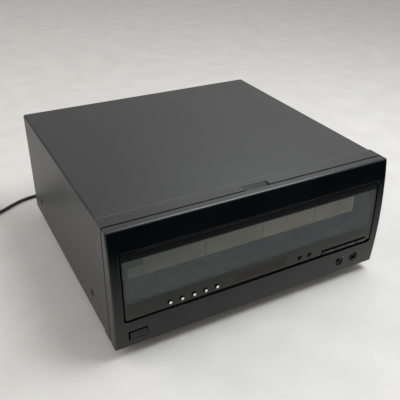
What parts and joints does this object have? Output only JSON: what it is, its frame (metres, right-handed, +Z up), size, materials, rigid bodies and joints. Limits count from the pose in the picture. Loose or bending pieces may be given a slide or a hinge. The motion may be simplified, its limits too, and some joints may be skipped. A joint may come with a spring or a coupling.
{
  "type": "disc changer",
  "caption": "Wide black file-type disc changer: a steel cabinet whose glossy front plate is a tip-down door with a smoked window and keys, over a row of disc trays and a player carriage.",
  "frame": {"origin": "on the table below the middle of the cabinet's box, cord left out", "axes": "+X across the front to the right seen from the front, +Y to the back, +Z up"},
  "size_m": [0.584, 0.527, 0.19],
  "materials": {
    "cabinet_paint": "semi-gloss black paint on pressed steel",
    "zinc_steel": "plain zinc-plated sheet",
    "black_screw": "black oxide pan-head screws",
    "frame_plastic": "semi-gloss black moulding",
    "foot_rubber": "matt black rubber",
    "tray_plastic": "matt black moulding",
    "polished_steel": "ground steel rod",
    "gear_plastic": "natural white gear plastic",
    "core_iron": "varnished laminations",
    "copper_winding": "taped copper winding",
    "circuit_board": "green solder mask",
    "component_black": "moulded component bodies",
    "gilt_metal": "gilt connector sleeves",
    "magnet": "ferrite block",
    "cord_vinyl": "black vinyl",
    "tie_plastic": "flat plastic tie",
    "brass_blade": "plain brass",
    "gloss_black": "polished black moulding",
    "smoked_acrylic": "smoked clear acrylic",
    "card_cream": "cream card",
    "display_glass": "unlit display glass",
    "jack_plastic": "black jack bushing",
    "key_plastic": "satin black key plastic",
    "button_silver": "silver-white button plastic",
    "cast_alloy": "die-cast alloy",
    "motor_can": "drawn motor can",
    "turntable_rubber": "rubber-faced turntable"
  },
  "bodies": {
    "chassis": {"base_pan": "zinc_steel", "rear_panel": "cabinet_paint", "bonnet": "cabinet_paint", "bonnet_screws": "black_screw", "front_frame": "frame_plastic", "feet": "foot_rubber", "disc_trays": "tray_plastic", "disc_dividers": "tray_plastic", "guide_rods": "polished_steel", "rod_brackets": "zinc_steel", "drive_rail": "gear_plastic", "transformer_core": "core_iron", "transformer_winding": "copper_winding", "main_board": "circuit_board", "board_components": "component_black", "line_jacks": "tray_plastic", "line_sleeves": "gilt_metal", "magnet_catches": "magnet", "cord_bush": "cord_vinyl", "mains_cord": "cord_vinyl", "cord_coil": "cord_vinyl", "cord_tie": "tie_plastic", "mains_plug": "cord_vinyl", "plug_blades": "brass_blade"},
    "door": {"door_panel": "gloss_black", "door_back": "tray_plastic", "window_pane": "smoked_acrylic", "index_strip": "card_cream", "display_module": "display_glass", "control_board": "circuit_board", "hinge_pins": "polished_steel", "phones_jack": "jack_plastic", "level_pot": "zinc_steel", "power_switch": "tray_plastic"},
    "mode_button_1": {"mode_button_1": "button_silver"},
    "mode_button_2": {"mode_button_2": "button_silver"},
    "mode_button_3": {"mode_button_3": "button_silver"},
    "mode_button_4": {"mode_button_4": "button_silver"},
    "mode_button_5": {"mode_button_5": "button_silver"},
    "set_button_1": {"set_button_1": "key_plastic"},
    "set_button_2": {"set_button_2": "key_plastic"},
    "transport_key_1": {"transport_key_1": "key_plastic"},
    "transport_key_2": {"transport_key_2": "key_plastic"},
    "transport_key_3": {"transport_key_3": "key_plastic"},
    "transport_key_4": {"transport_key_4": "key_plastic"},
    "power_button": {"power_button": "key_plastic"},
    "level_knob": {"level_knob": "key_plastic"},
    "carriage": {"carriage_frame": "cast_alloy", "spindle_motor": "motor_can", "pickup_shafts": "polished_steel", "feed_motor": "motor_can", "carriage_motor": "motor_can"},
    "turntable": {"turntable": "turntable_rubber"},
    "clamp_arm": {"clamp_arm": "cast_alloy"},
    "pickup_sled": {"pickup_sled": "component_black"},
    "feed_screw": {"feed_screw": "brass_blade"},
    "drive_pinion": {"drive_pinion": "gear_plastic"},
    "transfer_arm": {"transfer_arm": "tray_plastic"}
  },
  "joints": [
    {"name": "door_hinge", "type": "hinge", "parent": "chassis", "child": "door", "pos_m": [0, -0.191, 0.023], "axis": [1, 0, 0], "range_deg": [0, 55]},
    {"name": "mode_button_1_press", "type": "slide", "parent": "door", "child": "mode_button_1", "axis": [0, 1, 0], "range_m": [0, 0.001], "stiffness_N_per_m": 200},
    {"name": "mode_button_2_press", "type": "slide", "parent": "door", "child": "mode_button_2", "axis": [0, 1, 0], "range_m": [0, 0.001], "stiffness_N_per_m": 200},
    {"name": "mode_button_3_press", "type": "slide", "parent": "door", "child": "mode_button_3", "axis": [0, 1, 0], "range_m": [0, 0.001], "stiffness_N_per_m": 200},
    {"name": "mode_button_4_press", "type": "slide", "parent": "door", "child": "mode_button_4", "axis": [0, 1, 0], "range_m": [0, 0.001], "stiffness_N_per_m": 200},
    {"name": "mode_button_5_press", "type": "slide", "parent": "door", "child": "mode_button_5", "axis": [0, 1, 0], "range_m": [0, 0.001], "stiffness_N_per_m": 200},
    {"name": "set_button_1_press", "type": "slide", "parent": "door", "child": "set_button_1", "axis": [0, 1, 0], "range_m": [0, 0.001], "stiffness_N_per_m": 200},
    {"name": "set_button_2_press", "type": "slide", "parent": "door", "child": "set_button_2", "axis": [0, 1, 0], "range_m": [0, 0.001], "stiffness_N_per_m": 200},
    {"name": "transport_key_1_press", "type": "slide", "parent": "door", "child": "transport_key_1", "axis": [0, 1, 0], "range_m": [0, 0.001], "stiffness_N_per_m": 200},
    {"name": "transport_key_2_press", "type": "slide", "parent": "door", "child": "transport_key_2", "axis": [0, 1, 0], "range_m": [0, 0.001], "stiffness_N_per_m": 200},
    {"name": "transport_key_3_press", "type": "slide", "parent": "door", "child": "transport_key_3", "axis": [0, 1, 0], "range_m": [0, 0.001], "stiffness_N_per_m": 200},
    {"name": "transport_key_4_press", "type": "slide", "parent": "door", "child": "transport_key_4", "axis": [0, 1, 0], "range_m": [0, 0.001], "stiffness_N_per_m": 200},
    {"name": "power_button_press", "type": "slide", "parent": "door", "child": "power_button", "axis": [0, 1, 0], "range_m": [0, 0.001], "stiffness_N_per_m": 200},
    {"name": "level_knob_turn", "type": "hinge", "parent": "door", "child": "level_knob", "pos_m": [0.1714, -0.198, 0.0364], "axis": [0, 1, 0], "range_deg": [-150, 150]},
    {"name": "carriage_slide", "type": "slide", "parent": "chassis", "child": "carriage", "axis": [1, 0, 0], "range_m": [-0.1707, 0.1707]},
    {"name": "drive_pinion_spin", "type": "hinge", "parent": "carriage", "child": "drive_pinion", "pos_m": [0, 0.122, 0.026], "axis": [0, 0, 1], "range_deg": [-1640, 1640]},
    {"name": "turntable_spin", "type": "hinge", "parent": "carriage", "child": "turntable", "pos_m": [0, 0.02, 0.1], "axis": [1, 0, 0], "continuous": true},
    {"name": "clamp_arm_swing", "type": "hinge", "parent": "carriage", "child": "clamp_arm", "pos_m": [0.012, 0.092, 0.1], "axis": [0, 0, -1], "range_deg": [0, 5]},
    {"name": "pickup_slide", "type": "slide", "parent": "carriage", "child": "pickup_sled", "axis": [0, 1, 0], "range_m": [0, 0.031]},
    {"name": "feed_screw_spin", "type": "hinge", "parent": "carriage", "child": "feed_screw", "pos_m": [-0.0072, 0.062, 0.123], "axis": [0, 1, 0], "range_deg": [-10, 2810]},
    {"name": "transfer_arm_swing", "type": "hinge", "parent": "carriage", "child": "transfer_arm", "pos_m": [0.002, 0.086, 0.048], "axis": [1, 0, 0], "range_deg": [0, 48]}
  ],
  "couplings": [
    {"joint": "drive_pinion_spin", "follows": "carriage_slide", "rad_per_m": 166.67},
    {"joint": "feed_screw_spin", "follows": "pickup_slide", "rad_per_m": 1570.8}
  ]
}
